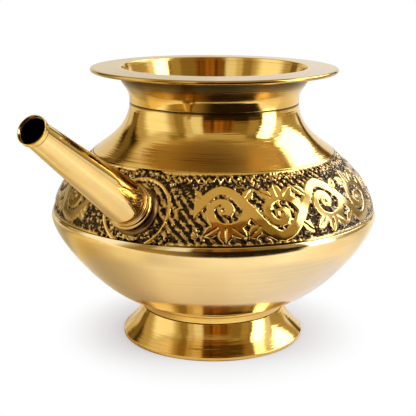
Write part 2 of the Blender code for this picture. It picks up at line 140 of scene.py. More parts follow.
def softened(outline, closed=True):
    """Rounds each sharp corner of an outline."""
    points = np.array(outline)
    soft = []
    for i, point in enumerate(points):
        before, after = points[i - 1], points[(i + 1) % len(points)]
        inward, outward = before - point, after - point
        sizes = np.linalg.norm(inward), np.linalg.norm(outward)
        end = not closed and i in (0, len(points) - 1)
        if end or min(sizes) < 1e-9:
            soft.append(point)
            continue
        inward, outward = inward / sizes[0], outward / sizes[1]
        bend = math.acos(max(-1.0, min(1.0, float(-inward @ outward))))
        if bend < SHARP_TURN:
            soft.append(point)
            continue
        reach = min(CORNER_RADIUS * math.tan(bend / 2) * 1.2, 0.4 * sizes[0], 0.4 * sizes[1])
        start, finish = point + inward * reach, point + outward * reach
        soft.append(start + inward * reach * 0.2)
        for t in np.linspace(0.0, 1.0, 5):
            soft.append((1 - t) ** 2 * start + 2 * (1 - t) * t * point + t**2 * finish)
        soft.append(finish + outward * reach * 0.2)
    return np.array(soft)


# %% [markdown]
# ## The vessel's side
# From under the rim to the middle of the bottom the side is one line, cut where the real pot is brazed: a
# waisted neck, a hollow-curved shoulder, the chased band, and the bowl that rolls under to the foot. One
# spline through all the points would ripple, so each stretch has a curve of its own.

# %% Paths of the vessel's side
SEAT_HEIGHT = 0.01705
WAIST_HEIGHT = 0.0117
BAND_FOOT = (0.0631, 0.0523)
BAND_TOP = (0.0473, 0.0748)
NECK_SEAM = (0.0329, 0.0935)
NECK_TOP = (0.0377, 0.10535)
WIDEST = (0.06375, 0.0504)
BOWL_SEAT = (0.0320, SEAT_HEIGHT)
BOWL_BOTTOM = (0.0, SEAT_HEIGHT - 0.0024)

neck = bezier(NECK_TOP, NECK_SEAM, (-111, -88), (0.60, 0.46))
shoulder = bezier(NECK_SEAM, BAND_TOP, (-88, -37), (0.42, 0.28))
band = bezier(BAND_TOP, BAND_FOOT, (-44, -84), (0.20, 0.40))
roll = bezier(BAND_FOOT, WIDEST, (-56, -90), (0.36, 0.36), 25)
side = bezier(WIDEST, BOWL_SEAT, (-90, -175), (0.175, 0.245), 193)
dome = bezier(BOWL_SEAT, BOWL_BOTTOM, (-175, -180), (0.33, 0.33))
belly = joined(roll, side, dome)
for title, path in (("neck", neck), ("shoulder", shoulder), ("band", band), ("bowl", belly)):
    print(title, "runs", round(distances(path)[-1] * 1000, 1), "mm down the side")


# %% [markdown]
# ## Spinning an outline
# A Screw modifier would spin an outline too, but numpy also lets each point remember how far along the
# outline it lies. The finishes use that number for the fine lines that the lathe leaves.

# %% Spinning
POT_AXIS = Matrix.Translation((pot_x, 0.0, 0.0))
SHARP_EDGE = math.radians(50)


def piece_from(name, points, faces, along, stands_for):
    """Makes a smooth mesh piece that rides on the pot and stands for one of its solids."""
    mesh = bpy.data.meshes.new(name)
    mesh.from_pydata(points.tolist(), [], faces)
    mesh.update()
    mesh.attributes.new("along", "FLOAT", "POINT").data.foreach_set("value", np.asarray(along, np.float32))
    mesh.shade_smooth()
    mesh.set_sharp_from_angle(angle=SHARP_EDGE)
    made = bpy.data.objects.new(name, mesh)
    bpy.context.scene.collection.objects.link(made)
    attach(made, "root")
    if stands_for:
        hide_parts(stands_for)
    return made


def ring_faces(rows, columns, closed):
    """Quads between neighbouring rows of a spun outline."""
    faces = []
    for i in range(rows if closed else rows - 1):
        here, below = i * columns, (i + 1) % rows * columns
        for j in range(columns):
            k = (j + 1) % columns
            faces.append((here + j, below + j, below + k, here + k))
    return faces


def spun(name, outline, stands_for, axis=POT_AXIS, columns=256, closed=True, hole=None):
    """Spins an outline of (radius, height) points. A hole says which of the points are cut away."""
    outline = np.asarray(outline)
    turn = np.linspace(0.0, 2 * math.pi, columns, endpoint=False)
    local = np.empty((len(outline), columns, 3))
    local[:, :, 0] = outline[:, :1] * np.cos(turn)
    local[:, :, 1] = outline[:, :1] * np.sin(turn)
    local[:, :, 2] = outline[:, 1:]
    placed = local.reshape(-1, 3) @ np.array(axis.to_3x3()).T + np.array(axis.translation)
    along = np.repeat(distances(outline), columns)
    faces = ring_faces(len(outline), columns, closed)
    if hole:
        cut = hole(placed)
        faces = [face for face in faces if not cut[list(face)].any()]
    made = piece_from(name, placed, faces, along, stands_for)
    print(name, len(made.data.polygons), "faces")
    return made


# %% [markdown]
# ## Rim, neck and shoulder
# The rim is a flat ring with a round edge and a rebate below for the neck, and the wall inside the mouth is
# straight. Neck and shoulder end in spigots that slide into the shell below, so each seam shows as one fine
# dark line, as on the real pot. A groove cut into a single shell would show that line only from outside.

# %% Rim, neck and shoulder
RIM_TOP = 0.1072
RIM_UNDERSIDE = 0.10535
RIM_EDGE = 0.0478
RIM_MIDDLE = 0.0425
RIM_FALL = 0.0003
EDGE_ROUND = 0.00077
REBATE_RADIUS = 0.0380
REBATE_TOP = 0.10585
MOUTH_RADIUS = 0.0359
MOUTH_ROUND = 0.0005
MOUTH_SLOPE = math.tan(math.radians(17))
MOUTH_WALL_TOP = RIM_TOP - 0.00035
MOUTH_WALL_FOOT = 0.0988
FLAT_FROM = MOUTH_RADIUS + 0.0013
FLAT_TO = RIM_EDGE - 0.0008
THROAT_TOP = 0.0975
NECK_END = 0.10580
SPIGOT_WALL = 0.0012
INSIDE_STEP = 0.0012
HAIR = 0.00004  # least distance between points that must not meet


def lapped(path, next_path):
    """Outline of a shell whose lower edge steps in to a spigot inside the next shell."""
    end = distances(path)[-1]
    seat = WALL + FIT_GAP
    return np.vstack([
        stretch(path, 0.0, 0.0, end - FIT_GAP / 2),
        stretch(path, seat, end - FIT_GAP / 2, end)[:1],
        stretch(next_path, seat, 0.001, LAP_LENGTH),
        stretch(next_path, seat + SPIGOT_WALL, LAP_LENGTH, 0.0),
        stretch(path, WALL, end - LAP_LENGTH, 0.0, INSIDE_STEP),
    ])


def mouth_wall(heights):
    """The straight wall inside the mouth, which narrows downwards."""
    heights = np.asarray(heights)
    return np.column_stack([MOUTH_RADIUS - (MOUTH_WALL_TOP - heights) * MOUTH_SLOPE, heights])


edge_top = RIM_TOP - RIM_FALL
rim_outline = np.vstack([
    mouth_wall([REBATE_TOP, REBATE_TOP + HAIR]),
    arc((MOUTH_RADIUS + MOUTH_ROUND, RIM_TOP - MOUTH_ROUND), (MOUTH_ROUND, MOUTH_ROUND), (163, 92), 7),
    np.linspace((FLAT_FROM, RIM_TOP), (FLAT_TO, edge_top + HAIR / 2), 10),
    arc((RIM_EDGE - EDGE_ROUND, edge_top - EDGE_ROUND), (EDGE_ROUND, EDGE_ROUND), (90, 0), 7),
    arc((RIM_EDGE - EDGE_ROUND, RIM_UNDERSIDE + EDGE_ROUND), (EDGE_ROUND, EDGE_ROUND), (0, -90), 7),
    [(RIM_MIDDLE, RIM_UNDERSIDE), (REBATE_RADIUS, RIM_UNDERSIDE), (REBATE_RADIUS, REBATE_TOP)],
])
rim_piece = spun("rim_flange_turned", softened(rim_outline), "rim_flange")
neck_shell = lapped(neck, shoulder)
inner_count = len(stretch(neck, WALL, distances(neck)[-1] - LAP_LENGTH, 0.0, INSIDE_STEP))
outer_side, inner_side = np.split(neck_shell, [-inner_count])
neck_outline = np.vstack([
    [(NECK_TOP[0], NECK_END)],
    outer_side,
    inner_side[inner_side[:, 1] < THROAT_TOP],
    mouth_wall(np.append(np.linspace(MOUTH_WALL_FOOT, NECK_END - HAIR, 12), NECK_END)),
])
neck_piece = spun("neck_collar_turned", softened(neck_outline), "neck_collar")
shoulder_piece = spun("shoulder_turned", softened(lapped(shoulder, band)), "shoulder_shell")

# %% [markdown]
# ## Bowl and foot
# The bowl is closed below, so its outline is open and starts and ends on the axis. The foot is a beaded
# ring and a hollow flare with a thin flat edge that the pot stands on. One outline could hold both, but the
# real foot has a seam under the ring, so they are two pieces.

# %% Bowl and foot
FOOT_RADIUS = 0.0362
FOOT_EDGE = 0.0013
FOOT_FLAT = 0.0004
FOOT_WAIST = 0.0284
STRIP_RADIUS = 0.0283
STRIP_FOOT = WAIST_HEIGHT + 0.0016
BEAD_RADIUS = 0.0012
COLLAR_BORE = 0.0262
COLLAR_BORE_TOP = 0.0160
FOOT_SPIGOT = COLLAR_BORE - FIT_GAP
FOOT_SPIGOT_BORE = 0.0247
FOOT_SPIGOT_TOP = WAIST_HEIGHT + 0.0024
FOOT_SPIGOT_ROOT = 0.0100
BOWL_INSIDE_STEP = 0.0015
AXIS_HOLE = 0.00002

belly_end = distances(belly)[-1]
bowl_outline = np.vstack([
    stretch(belly, WALL, belly_end, 0.0, BOWL_INSIDE_STEP),
    stretch(belly, 0.0, 0.0, belly_end),
])
bowl_outline[[0, -1], 0] = AXIS_HOLE
bowl_piece = spun("lower_bowl_spun", softened(bowl_outline, closed=False), "lower_bowl",
                  closed=False)

flare = bezier((FOOT_WAIST, WAIST_HEIGHT), (FOOT_RADIUS, FOOT_EDGE), (-67, -45), (0.44, 0.32))
flare_end = distances(flare)[-1]
collar_top = float(np.interp(-(STRIP_RADIUS + BEAD_RADIUS), -dome[:, 0], dome[:, 1])) - FIT_GAP
collar_foot = WAIST_HEIGHT + FIT_GAP
foot_collar_outline = np.vstack([
    arc((STRIP_RADIUS, collar_top - BEAD_RADIUS), (BEAD_RADIUS, BEAD_RADIUS), (60, -85), 15),
    [(STRIP_RADIUS, STRIP_FOOT), (STRIP_RADIUS + 0.0001, WAIST_HEIGHT + 0.0008)],
    [(FOOT_WAIST, collar_foot), (COLLAR_BORE, collar_foot), (COLLAR_BORE, COLLAR_BORE_TOP)],
])
foot_collar_piece = spun("foot_collar_turned", softened(foot_collar_outline), "foot_collar")
flare_inside = stretch(flare, WALL, flare_end, LAP_LENGTH / 2)
flare_outline = np.vstack([
    [(FOOT_SPIGOT_BORE, FOOT_SPIGOT_TOP), (FOOT_SPIGOT, FOOT_SPIGOT_TOP), (FOOT_SPIGOT, WAIST_HEIGHT)],
    stretch(flare, 0.0, 0.0, flare_end),
    [(FOOT_RADIUS, 0.0), (FOOT_RADIUS - WALL, 0.0)],
    flare_inside[flare_inside[:, 1] > FOOT_FLAT],
    [(FOOT_SPIGOT_BORE, FOOT_SPIGOT_ROOT)],
])
flare_piece = spun("foot_flare_spun", softened(flare_outline), "foot_flare")

# %% [markdown]
# ## Spout
# The tube, its lip and its collar are turned round an axis of their own, which rises from the band.
# The collar has to sit on a double curve. A Boolean cut would do that, but stopping each of its upright lines
# where it meets the band gives an even mesh with no slivers.

# %% Spout tube and lip
SPOUT_ROOT_HEIGHT = BAND_TOP[1] - 0.0120
SPOUT_ROOT_RADIUS = float(np.interp(-SPOUT_ROOT_HEIGHT, -band[:, 1], band[:, 0]))
SPOUT_RISE = math.radians(33.2)
SPOUT_LENGTH = 0.0657
COLLAR_HEIGHT = 0.0065
TUBE_ROOT = COLLAR_HEIGHT + FIT_GAP
SPIGOT_RADIUS = 0.0069
SPIGOT_END = -0.0034
HEEL_DEPTH = 0.00084
HEEL_LENGTH = 0.0016
ROOT_BORE = 0.0058
MOUTH_BORE = 0.0043
MOUTH_OUTSIDE = 0.00438
TIP_RADIUS = 0.0045
TIP_END = SPOUT_LENGTH - 0.0009
LIP_RADIUS = 0.00491
LIP_ROUND = 0.00016
LIP_SEAT = 0.00463
LIP_BACK = SPOUT_LENGTH - 0.0018
LIP_INSIDE = SPOUT_LENGTH - 0.0006

SPOUT_AXIS = (
    Matrix.Translation((pot_x + SPOUT_ROOT_RADIUS, 0.0, SPOUT_ROOT_HEIGHT))
    @ Matrix.Rotation(math.pi / 2 - SPOUT_RISE, 4, "Y")
)
tube_top, heel = LIP_BACK - FIT_GAP, TUBE_ROOT + HEEL_LENGTH
tube_outline = np.vstack([
    [(TIP_RADIUS, TIP_END), (TIP_RADIUS, tube_top)],
    np.linspace((MOUTH_OUTSIDE, tube_top), (SPIGOT_RADIUS + HEEL_DEPTH, heel), 60),
    arc((SPIGOT_RADIUS, heel), (HEEL_DEPTH, HEEL_LENGTH), (0, -85), 9)[1:],
    [(SPIGOT_RADIUS, TUBE_ROOT), (SPIGOT_RADIUS, SPIGOT_END), (ROOT_BORE, SPIGOT_END)],
    [(MOUTH_BORE, TIP_END)],
])
tube_piece = spun("spout_tube_drawn", softened(tube_outline), "spout_tube", SPOUT_AXIS, 192)
lip_outline = np.vstack([
    [(MOUTH_BORE, LIP_INSIDE)],
    arc((LIP_RADIUS - LIP_ROUND, SPOUT_LENGTH - HAIR / 2 - LIP_ROUND), (LIP_ROUND, LIP_ROUND), (170, 0), 9),
    [(LIP_RADIUS, LIP_BACK), (LIP_SEAT, LIP_BACK), (LIP_SEAT, LIP_INSIDE)],
])
lip_piece = spun("spout_lip_turned", softened(lip_outline), "spout_lip_ring",
                 SPOUT_AXIS, 128)

# %% Where the spout meets the band
SPOUT_COLUMNS = 192
spout_turn = np.linspace(0.0, 2 * math.pi, SPOUT_COLUMNS, endpoint=False)
whole_side = joined(shoulder, band, belly)
side_order = np.argsort(-whole_side[:, 1], kind="stable")


def outside_of_band(radius, turn, height):
    """How far a point round the spout's axis lies outside the band, measured level from the pot's axis."""
    across = radius * np.cos(turn)
    x = SPOUT_ROOT_RADIUS + across * math.sin(SPOUT_RISE) + height * math.cos(SPOUT_RISE)
    z = SPOUT_ROOT_HEIGHT - across * math.cos(SPOUT_RISE) + height * math.sin(SPOUT_RISE)
    wall = np.interp(-z, -whole_side[side_order, 1], whole_side[side_order, 0])
    return np.hypot(x, radius * np.sin(turn)) - wall


def band_level(radius, turn):
    """Height along the spout's axis at which a line beside that axis meets the band."""
    low, high = np.full_like(turn, -0.010), np.full_like(turn, 0.012)
    for _ in range(40):
        middle = (low + high) / 2
        inside = outside_of_band(radius, turn, middle) < 0
        low, high = np.where(inside, middle, low), np.where(inside, high, middle)
    return (low + high) / 2


def spout_ring(name, radii, heights, closed, row_step, stands_for):
    """A piece of rows of points round the spout's axis, each row with its radii and heights."""
    local = np.stack([radii * np.cos(spout_turn), radii * np.sin(spout_turn), heights], axis=-1)
    placed = local.reshape(-1, 3) @ np.array(SPOUT_AXIS.to_3x3()).T + np.array(SPOUT_AXIS.translation)
    along = np.repeat(np.arange(len(radii)) * row_step, SPOUT_COLUMNS)
    return piece_from(name, placed, ring_faces(len(radii), SPOUT_COLUMNS, closed), along, stands_for)


# %% Collar
SLEEVE_RADIUS, SLEEVE_HEIGHT = 0.0079, 0.0022
BORE_RADIUS = SPIGOT_RADIUS + FIT_GAP
BEADS_RADIUS = 0.0077
TOP_BEAD, LOW_BEAD = (0.0003, 0.0006), (0.0009, 0.0013)  # how far each stands out, and half its height
collar_outline = np.vstack([
    [(BORE_RADIUS, COLLAR_HEIGHT)],
    arc((BEADS_RADIUS, COLLAR_HEIGHT - TOP_BEAD[1]), TOP_BEAD, (90, -80), 9),
    arc((BEADS_RADIUS, SLEEVE_HEIGHT + LOW_BEAD[1]), LOW_BEAD, (80, -75), 17),
    [(SLEEVE_RADIUS, SLEEVE_HEIGHT)],
])
sleeve, bore = np.full(SPOUT_COLUMNS, SLEEVE_RADIUS), np.full(SPOUT_COLUMNS, BORE_RADIUS)
sleeve_foot = band_level(sleeve, spout_turn)
collar_radii = np.vstack([np.repeat(collar_outline[:, :1], SPOUT_COLUMNS, axis=1), sleeve, bore])
collar_heights = np.vstack([
    np.repeat(collar_outline[:, 1:], SPOUT_COLUMNS, axis=1), sleeve_foot, band_level(bore, spout_turn),
])
collar_piece = spout_ring("spout_collar_turned", collar_radii, collar_heights, True, 0.0004,
                          "spout_base_collar")
print("collar sits", round(float(np.ptp(sleeve_foot)) * 1000, 2), "mm deeper at one side than at the other")

# %% Run of filler round the collar
RUN_RADIUS = SLEEVE_RADIUS + 0.0001
RUN_WIDTH, WIDTH_VARIES = 0.00115, 0.0002
RUN_HEIGHT, HEIGHT_VARIES = 0.00165, 0.00045
# how many lumps there are round the collar, how large, and where the first one starts
LUMPS = ((2, 0.16, 0.4), (3, 0.22, 2.0), (5, 0.20, 4.1), (8, 0.16, 1.2), (13, 0.10, 5.0))
lumps = sum(size * np.sin(count * spout_turn + start) for count, size, start in LUMPS)
fillet_radii, fillet_heights = [], []
for quarter in np.linspace(0.0, math.pi / 2, 14):
    radius = RUN_RADIUS + (RUN_WIDTH + WIDTH_VARIES * lumps) * math.sin(quarter)
    rise = (RUN_HEIGHT + HEIGHT_VARIES * lumps) * math.cos(quarter) ** 1.2
    fillet_radii.append(radius)
    fillet_heights.append(band_level(radius, spout_turn) + rise + HAIR)
fillet_piece = spout_ring("spout_fillet_flowed", np.array(fillet_radii), np.array(fillet_heights), False,
                          0.0002, "spout_braze_fillet")
print("filler round the collar has", len(fillet_piece.data.polygons), "faces")

# %% [markdown]
# ## Runs of filler
# Filler shows under the rim and, from above or below, inside the pot. Molten filler creeps into a corner, so
# each run is a small three-sided ring in its corner. A round bead would seem to lie there loose.

# %% Filler rings
def filler_ring(path):
    """Three-sided run in the corner between a spigot's end and the shell round it."""
    start, face = LAP_LENGTH + FIT_GAP, WALL + FIT_GAP
    on_wall = stretch(path, face, start, start + FILLET_LEG)[[0, -1]]
    off_wall = stretch(path, face + FILLET_LEG, start, 0.0)[:1]
    return softened(np.vstack([on_wall, off_wall]))


inside_rings = (("neck_braze_ring", shoulder), ("shoulder_braze_ring", band), ("belly_braze_ring", belly))
filler_pieces = [
    spun(name + "_flowed", filler_ring(path), name) for name, path in inside_rings
]
under_rim = stretch(neck, -FIT_GAP / 3, FIT_GAP / 3, FIT_GAP + FILLET_LEG)
rim_run = np.vstack([
    [(under_rim[0][0] + FILLET_LEG, RIM_UNDERSIDE - 0.00005)],
    [(under_rim[-1][0] + FILLET_LEG / 3, RIM_UNDERSIDE - FILLET_LEG / 3)],
    under_rim[::-1],
])
filler_pieces.append(spun("rim_fillet_flowed", softened(rim_run), "rim_braze_fillet"))
foot_run_low = FOOT_SPIGOT_TOP + FIT_GAP
foot_run = [
    (FOOT_SPIGOT, SEAT_HEIGHT - 0.0018),
    (FOOT_SPIGOT, foot_run_low),
    (FOOT_SPIGOT - FILLET_LEG, foot_run_low),
]
filler_pieces.append(spun("foot_braze_ring_flowed", softened(foot_run), "foot_braze_ring"))

# %% [markdown]
# ## The chased band
# The smith drives the ground of this belt down with punches and leaves the ornament standing, then the
# hollows go dark with age. A bump map could draw that, but such relief changes the outline and catches the
# light, so it is real geometry: a fine grid of points whose depth comes from a drawing. The drawing is made
# of distances to strokes, in millimetres: a running leaf scroll, a zigzag border, a ring of beads round the
# spout, and a ground of furrows and punch marks.

# %% A grid over the band
BAND_COLUMNS, BAND_ROWS = 1000, 92
DRAWING_RADIUS = 57.0
down = np.linspace(0.0, distances(band)[-1] - FIT_GAP / 2, BAND_ROWS)
band_turn = np.linspace(0.0, 2 * math.pi, BAND_COLUMNS, endpoint=False)
band_face = stretch(band, 0.0, 0.0, down[-1], down[1])
band_inward = (stretch(band, 0.001, 0.0, down[-1], down[1]) - band_face) / 0.001
U, V = np.meshgrid(DRAWING_RADIUS * band_turn, down * 1000)
AROUND = DRAWING_RADIUS * 2 * math.pi


def round_band(outline):
    """Points of the band's rows, one column for each step round the pot, measured from the pot's axis."""
    return np.stack([outline[:, :1] * np.cos(band_turn), outline[:, :1] * np.sin(band_turn),
                     np.repeat(outline[:, 1:], BAND_COLUMNS, axis=1)], axis=-1)


from_root = round_band(band_face) - np.array([SPOUT_ROOT_RADIUS, 0.0, SPOUT_ROOT_HEIGHT])
spout_way = np.array([math.cos(SPOUT_RISE), 0.0, math.sin(SPOUT_RISE)])
spout_up = np.array([-math.sin(SPOUT_RISE), 0.0, math.cos(SPOUT_RISE)])
off_axis = from_root - (from_root @ spout_way)[..., None] * spout_way
from_spout = np.linalg.norm(off_axis, axis=-1) * 1000
round_spout = np.arctan2(off_axis[..., 1], off_axis @ spout_up)
print("band grid", BAND_ROWS, "rows of", BAND_COLUMNS, "points,", round(float(V.max()), 1), "mm deep")

# %% Drawing tools
FAR = 1e9
chance = np.random.default_rng(7)


def grain(cell_u, cell_v, u=U, v=V):
    """Smooth random values from 0 to 1 on a lattice of cells, which closes on itself round the pot."""
    columns, rows = max(4, round(AROUND / cell_u)), int(V.max() / cell_v) + 60
    lattice = chance.random((rows, columns))
    x, y = u / AROUND * columns, v / cell_v + 20
    i, j = np.floor(x).astype(int), np.clip(np.floor(y).astype(int), 0, rows - 2)
    fx, fy = x - i, np.clip(y - j, 0, 1)
    fx, fy = fx * fx * (3 - 2 * fx), fy * fy * (3 - 2 * fy)
    i, k = i % columns, (i + 1) % columns
    top = lattice[j, i] * (1 - fx) + lattice[j, k] * fx
    low = lattice[j + 1, i] * (1 - fx) + lattice[j + 1, k] * fx
    return top * (1 - fy) + low * fy


def step(distance, start, end):
    """Smooth step from 0 where a distance is at start to 1 where it is at end."""
    t = np.clip((distance - start) / (end - start), 0.0, 1.0)
    return t * t * (3 - 2 * t)


def from_stroke(x, y, line, half_widths):
    """Distance from a stroke's edge, for a stroke given by points along its middle."""
    nearest = np.full(x.shape, FAR)
    for (px, py), half in zip(line, half_widths):
        nearest = np.minimum(nearest, np.hypot(x - px, y - py) - half)
    return nearest


def from_leaf(x, y, base, angle, length, half_width):
    """Distance from a pointed leaf's edge, and how far a point lies from the leaf's middle vein."""
    ahead = (x - base[0]) * math.cos(angle) + (y - base[1]) * math.sin(angle)
    aside = (y - base[1]) * math.cos(angle) - (x - base[0]) * math.sin(angle)
    t = np.clip(ahead / length, 0.0, 1.0)
    edge = half_width * np.sin(math.pi * t**0.8)
    beyond = np.maximum(np.maximum(-ahead, ahead - length), 0.0)
    over_edge = np.abs(aside) - edge
    return np.hypot(np.maximum(over_edge, 0.0), beyond) + np.minimum(over_edge, 0.0), aside


print("one step of the grid round the band is", round(AROUND / BAND_COLUMNS, 2), "mm")


# %% Running leaf scroll
SCROLL_STARTS = math.radians(21.0)
HALF_WAVES = 16
HALF_WAVE = DRAWING_RADIUS * (2 * math.pi - 2 * SCROLL_STARTS) / HALF_WAVES
SCROLL_MIDDLE = 16.1
SCROLL_RISE = 8.9
SCROLL_ENDS = (14.4, 14.9)  # distances from the spout's axis
STEM_HALF_WIDTH = 1.9
COIL_REACH, COIL_TIGHTENS = 8.4, 0.200
COIL_HALF_WIDTHS = (1.75, 1.10)
EYE_RADIUS = 2.0
LEAVES = (
    # foot of the leaf, direction in degrees, length, half width
    ((0.9, 5.2), 92, 6.0, 2.3),
    ((3.0, 5.2), 38, 6.2, 2.0),
    ((-1.6, 5.0), 146, 6.2, 2.0),
    ((-7.6, -5.0), 226, 6.0, 2.0),
    ((7.6, -5.0), -46, 6.0, 2.0),
)
scroll_u = U - DRAWING_RADIUS * SCROLL_STARTS
wave = np.clip(np.floor(scroll_u / HALF_WAVE), 0, HALF_WAVES - 1)
cell_x = scroll_u - (wave + 0.5) * HALF_WAVE
cell_y = np.where(wave % 2 == 0, 1.0, -1.0) * (V - SCROLL_MIDDLE)

stem_x = np.linspace(-HALF_WAVE / 2, HALF_WAVE / 2, 61)
stem = np.column_stack([stem_x, -SCROLL_RISE * np.cos(math.pi * stem_x / HALF_WAVE)])
coil_eye = np.array([0.35, -1.0])
coil_turn = np.linspace(math.radians(8), math.radians(400), 110)
coil_reach = COIL_REACH * np.exp(-COIL_TIGHTENS * coil_turn)
coil = coil_eye + np.column_stack([np.cos(coil_turn), np.sin(coil_turn)]) * coil_reach[:, None]
coil_widths = np.linspace(*COIL_HALF_WIDTHS, len(coil))
scroll, veins = np.full(U.shape, FAR), np.full(U.shape, FAR)
for shift, flip in ((0.0, 1.0), (HALF_WAVE, -1.0), (-HALF_WAVE, -1.0)):
    x, y = cell_x - shift, cell_y * flip
    scroll = np.minimum(scroll, from_stroke(x, y, stem, np.full(len(stem), STEM_HALF_WIDTH)))
    scroll = np.minimum(scroll, from_stroke(x, y, coil, coil_widths))
    scroll = np.minimum(scroll, np.hypot(x - coil_eye[0], y - coil_eye[1]) - EYE_RADIUS)
    for base, angle, length, half_width in LEAVES:
        edge, vein = from_leaf(x, y, base, math.radians(angle), length, half_width)
        scroll = np.minimum(scroll, edge)
        veins = np.where(edge < 0, np.minimum(veins, np.abs(vein)), veins)
eye_dots = np.hypot(cell_x - coil_eye[0], cell_y - coil_eye[1])
ends = np.maximum(-scroll_u, scroll_u - HALF_WAVES * HALF_WAVE)
scroll = np.where(ends > 0, np.hypot(np.maximum(scroll, 0), ends) + 0.2, scroll)
scroll_stands = step(scroll, 0.32, -0.22) * step(from_spout, *SCROLL_ENDS)
print("scroll covers", round(float(scroll_stands.mean()) * 100), "% of the band")

# %% Borders and the ring round the spout
RING_RADIUS, RING_HALF_WIDTH = 12.7, 0.6
BEAD_CIRCLE, BEAD_SIZE = 15.6, 0.62
BEAD_COUNT = 36
ZIGZAG_LEVEL, ZIGZAG_RISE, ZIGZAG_PITCH = 2.55, 0.95, 3.05
ZIGZAG_HALF_WIDTH = 0.42
TOP_LINE, LOW_LINE = 0.95, 0.8
LINE_EDGE = (0.25, -0.1)
tooth = np.abs((U / ZIGZAG_PITCH) % 1.0 - 0.5) * 4 - 1
zigzag = ZIGZAG_LEVEL + ZIGZAG_RISE * tooth + 0.5 * (grain(1.1, 0.9) - 0.5)
border_stands = np.maximum.reduce([
    step(np.abs(V - zigzag) - ZIGZAG_HALF_WIDTH, 0.3, -0.25) * 0.85,
    step(V - TOP_LINE, *LINE_EDGE),
    step(V.max() - LOW_LINE - V, *LINE_EDGE),
])
ring = np.abs(from_spout - RING_RADIUS) - RING_HALF_WIDTH
bead_pitch = 2 * math.pi * BEAD_CIRCLE / BEAD_COUNT
beside_bead = ((round_spout * BEAD_CIRCLE / bead_pitch + 0.5) % 1.0 - 0.5) * bead_pitch
beads = np.hypot(from_spout - BEAD_CIRCLE, beside_bead) - BEAD_SIZE
ring_stands = np.maximum(step(ring, 0.3, -0.2), step(beads, 0.4, -0.5))
boss = 0.25 * step(from_spout, 11.0, 10.2)
near_spout = step(from_spout, 17.2, 16.8)
print("borders cover", round(float(border_stands.mean()) * 100), "% of the band, with", BEAD_COUNT, "beads")

# %% Furrowed and punched ground
CHASING_DEPTH = 0.0009
FURROW_LEAN, FURROW_PITCH = 1.4, 2.5
LEAN_LENGTH = 1.72  # turns the leaning sum into a distance across the furrows
warp = grain(9.0, 9.0) - 0.5
across_furrows = (FURROW_LEAN * U - V) / LEAN_LENGTH
furrow = 0.5 + 0.5 * np.sin(2 * math.pi * (across_furrows / FURROW_PITCH + 1.1 * warp))
punched = grain(0.55, 0.5)
coarse = grain(1.7, 1.5)
furrowed = step(grain(22.0, 14.0), 0.47, 0.60)
ground = np.clip(0.62 * punched + 0.20 * coarse + 0.46 * furrowed * (furrow - 0.45) + 0.06, 0.0, 1.0)
ground = step(ground, 0.27, 0.70)

stands = np.maximum(np.where(near_spout > 0.5, ring_stands, np.maximum(scroll_stands, border_stands)), boss)
relief = stands + (1 - stands) * 0.62 * ground
relief -= 0.30 * step(veins, 0.36, 0.10) * (stands > 0.8) * (near_spout < 0.5)
relief -= 0.45 * step(eye_dots, 0.85, 0.5) * (near_spout < 0.5) * (ends < 0)
relief = np.clip(relief - 0.05 * grain(2.4, 2.4) * stands, 0.0, 1.0)
mean_depth = float((1 - relief).mean()) * CHASING_DEPTH
print("chased ground lies", round(mean_depth * 1e6), "micrometres down on average")

# %% Chased relief
RELIEF_HOLE = 7.2
chased = round_band(band_face) + round_band(band_inward) * ((1 - relief) * CHASING_DEPTH)[..., None]
keep = (from_spout > RELIEF_HOLE).ravel()
faces = [face for face in ring_faces(BAND_ROWS, BAND_COLUMNS, False) if keep[list(face)].all()]
band_piece = piece_from(
    "chased_band_relief", chased.reshape(-1, 3) + np.array([pot_x, 0.0, 0.0]), faces,
    np.repeat(down, BAND_COLUMNS), "chased_band",
)
for name, values in (("relief", relief), ("stands", stands)):
    layer = band_piece.data.attributes.new(name, "FLOAT", "POINT")
    layer.data.foreach_set("value", values.ravel().astype(np.float32))
print("band relief", len(faces), "faces")

# %% Wall behind the relief
WALL_HOLE = 0.0066
band_end = distances(band)[-1]
inner_outline = np.vstack([
    stretch(band, 0.0, band_end - FIT_GAP / 2, band_end)[:1],
    stretch(band, WALL + FIT_GAP, band_end - FIT_GAP / 2, band_end)[:1],
    stretch(belly, WALL + FIT_GAP, 0.001, LAP_LENGTH),
    stretch(belly, WALL + FIT_GAP + SPIGOT_WALL, LAP_LENGTH, 0.0),
    stretch(band, WALL, band_end - LAP_LENGTH, 0.0),
    band_face[:1],
])


def in_spout_hole(points):
    """Tells which points lie where the spout passes through the wall."""
    offset = points - np.array(SPOUT_AXIS.translation)
    aside = offset - (offset @ spout_way)[:, None] * spout_way
    return (np.linalg.norm(aside, axis=1) < WALL_HOLE) & (points[:, 0] > pot_x)


wall_piece = spun("chased_band_wall", softened(inner_outline, closed=False), "chased_band",
                  columns=720, closed=False, hole=in_spout_hole)

# %% [markdown]
# ## Shader sums in plain Python
# A finish is a small sum: so much of this line, so much of that cloud. Adding and linking each Math node by
# hand hides that. Wrapping a node's output in a class with operators lets such sums be read as sums, while
# Blender still gets ordinary nodes.

